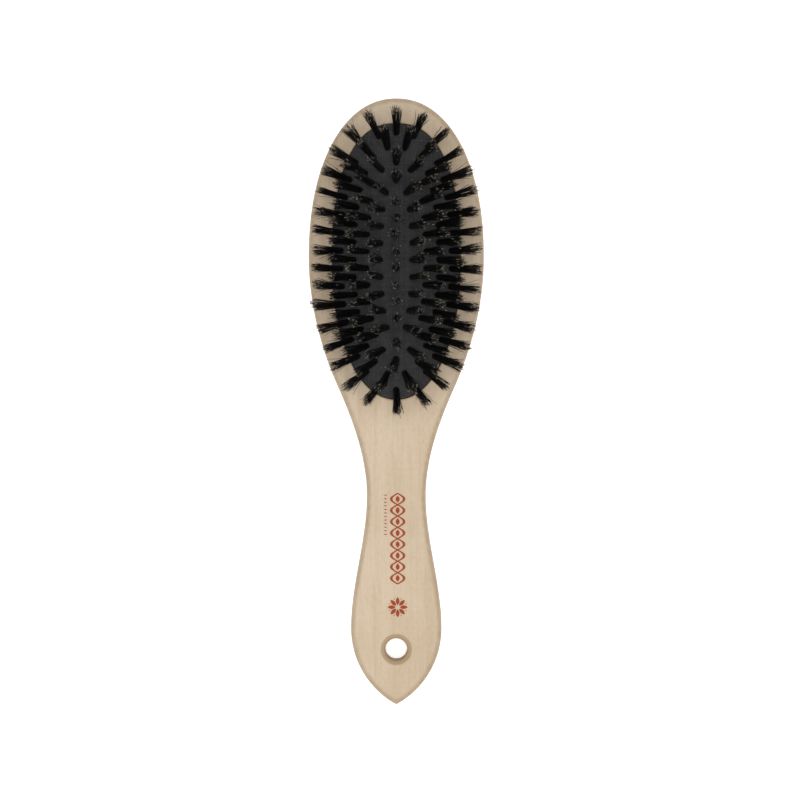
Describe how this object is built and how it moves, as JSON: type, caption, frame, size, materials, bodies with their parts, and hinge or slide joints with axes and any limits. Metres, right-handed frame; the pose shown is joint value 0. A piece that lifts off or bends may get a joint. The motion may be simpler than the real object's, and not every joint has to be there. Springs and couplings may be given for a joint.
{
  "type": "bristle brush",
  "caption": "Oval cushion brush with a pale wooden handle, a domed cloth-faced air cushion that gives under pressure, and dark natural-bristle tufts.",
  "frame": {"origin": "under the middle of the brush, on the surface that its back lies on", "axes": "+Y from the handle to the head, +Z the way the bristles stand, +X across the brush"},
  "size_m": [0.0642, 0.222, 0.038],
  "materials": {
    "pale_wood": "satin",
    "woven_facing": "matte",
    "black_rubber": "matte",
    "boar_bristle": "satin"
  },
  "bodies": {
    "root": {"wood_body": "pale_wood", "cloth_facing": "woven_facing", "rubber_cushion": "black_rubber"},
    "centre_tufts": {"centre_tuft_row_01": "boar_bristle", "centre_tuft_row_02": "boar_bristle"},
    "inner_tufts": {"inner_tuft_pair_01": "boar_bristle", "inner_tuft_pair_02": "boar_bristle", "inner_tuft_pair_03": "boar_bristle", "inner_tuft_pair_04": "boar_bristle", "inner_tuft_pair_05": "boar_bristle", "inner_tuft_pair_06": "boar_bristle", "inner_tuft_pair_07": "boar_bristle", "inner_tuft_pair_08": "boar_bristle", "inner_tuft_pair_09": "boar_bristle", "inner_tuft_pair_10": "boar_bristle"},
    "middle_tufts": {"middle_tuft_pair_01": "boar_bristle", "middle_tuft_pair_02": "boar_bristle", "middle_tuft_pair_03": "boar_bristle", "middle_tuft_pair_04": "boar_bristle", "middle_tuft_pair_05": "boar_bristle", "middle_tuft_pair_06": "boar_bristle", "middle_tuft_pair_07": "boar_bristle", "middle_tuft_pair_08": "boar_bristle", "middle_tuft_pair_09": "boar_bristle", "middle_tuft_pair_10": "boar_bristle", "middle_tuft_pair_11": "boar_bristle", "middle_tuft_pair_12": "boar_bristle", "middle_tuft_pair_13": "boar_bristle"},
    "outer_tufts": {"outer_tuft_pair_01": "boar_bristle", "outer_tuft_pair_02": "boar_bristle", "outer_tuft_pair_03": "boar_bristle", "outer_tuft_pair_04": "boar_bristle", "outer_tuft_pair_05": "boar_bristle", "outer_tuft_pair_06": "boar_bristle", "outer_tuft_pair_07": "boar_bristle", "outer_tuft_pair_08": "boar_bristle", "outer_tuft_pair_09": "boar_bristle", "outer_tuft_pair_10": "boar_bristle", "outer_tuft_pair_11": "boar_bristle", "outer_tuft_pair_12": "boar_bristle", "outer_tuft_pair_13": "boar_bristle", "outer_tuft_pair_14": "boar_bristle", "outer_tuft_pair_15": "boar_bristle"},
    "edge_tufts": {"edge_tuft_pair_01": "boar_bristle", "edge_tuft_pair_02": "boar_bristle", "edge_tuft_pair_03": "boar_bristle", "edge_tuft_pair_04": "boar_bristle", "edge_tuft_pair_05": "boar_bristle", "edge_tuft_pair_06": "boar_bristle", "edge_tuft_pair_07": "boar_bristle", "edge_tuft_pair_08": "boar_bristle", "edge_tuft_pair_09": "boar_bristle", "edge_tuft_pair_10": "boar_bristle", "edge_tuft_pair_11": "boar_bristle", "edge_tuft_pair_12": "boar_bristle", "edge_tuft_pair_13": "boar_bristle", "edge_tuft_pair_14": "boar_bristle", "edge_tuft_pair_15": "boar_bristle", "edge_tuft_pair_16": "boar_bristle", "edge_tuft_pair_17": "boar_bristle"}
  },
  "joints": [
    {"name": "centre_press", "type": "slide", "parent": "root", "child": "centre_tufts", "axis": [0, 0, 1], "range_m": [-0.004, 0], "stiffness_N_per_m": 800, "deforming": ["cloth_facing", "rubber_cushion"]},
    {"name": "inner_press", "type": "slide", "parent": "root", "child": "inner_tufts", "axis": [0, 0, 1], "range_m": [-0.00376, 0]},
    {"name": "middle_press", "type": "slide", "parent": "root", "child": "middle_tufts", "axis": [0, 0, 1], "range_m": [-0.00316, 0]},
    {"name": "outer_press", "type": "slide", "parent": "root", "child": "outer_tufts", "axis": [0, 0, 1], "range_m": [-0.00226, 0]},
    {"name": "edge_press", "type": "slide", "parent": "root", "child": "edge_tufts", "axis": [0, 0, 1], "range_m": [-0.00107, 0]}
  ],
  "couplings": [
    {"joint": "inner_press", "follows": "centre_press", "ratio": 0.9397},
    {"joint": "middle_press", "follows": "centre_press", "ratio": 0.7899},
    {"joint": "outer_press", "follows": "centre_press", "ratio": 0.5641},
    {"joint": "edge_press", "follows": "centre_press", "ratio": 0.2684}
  ]
}
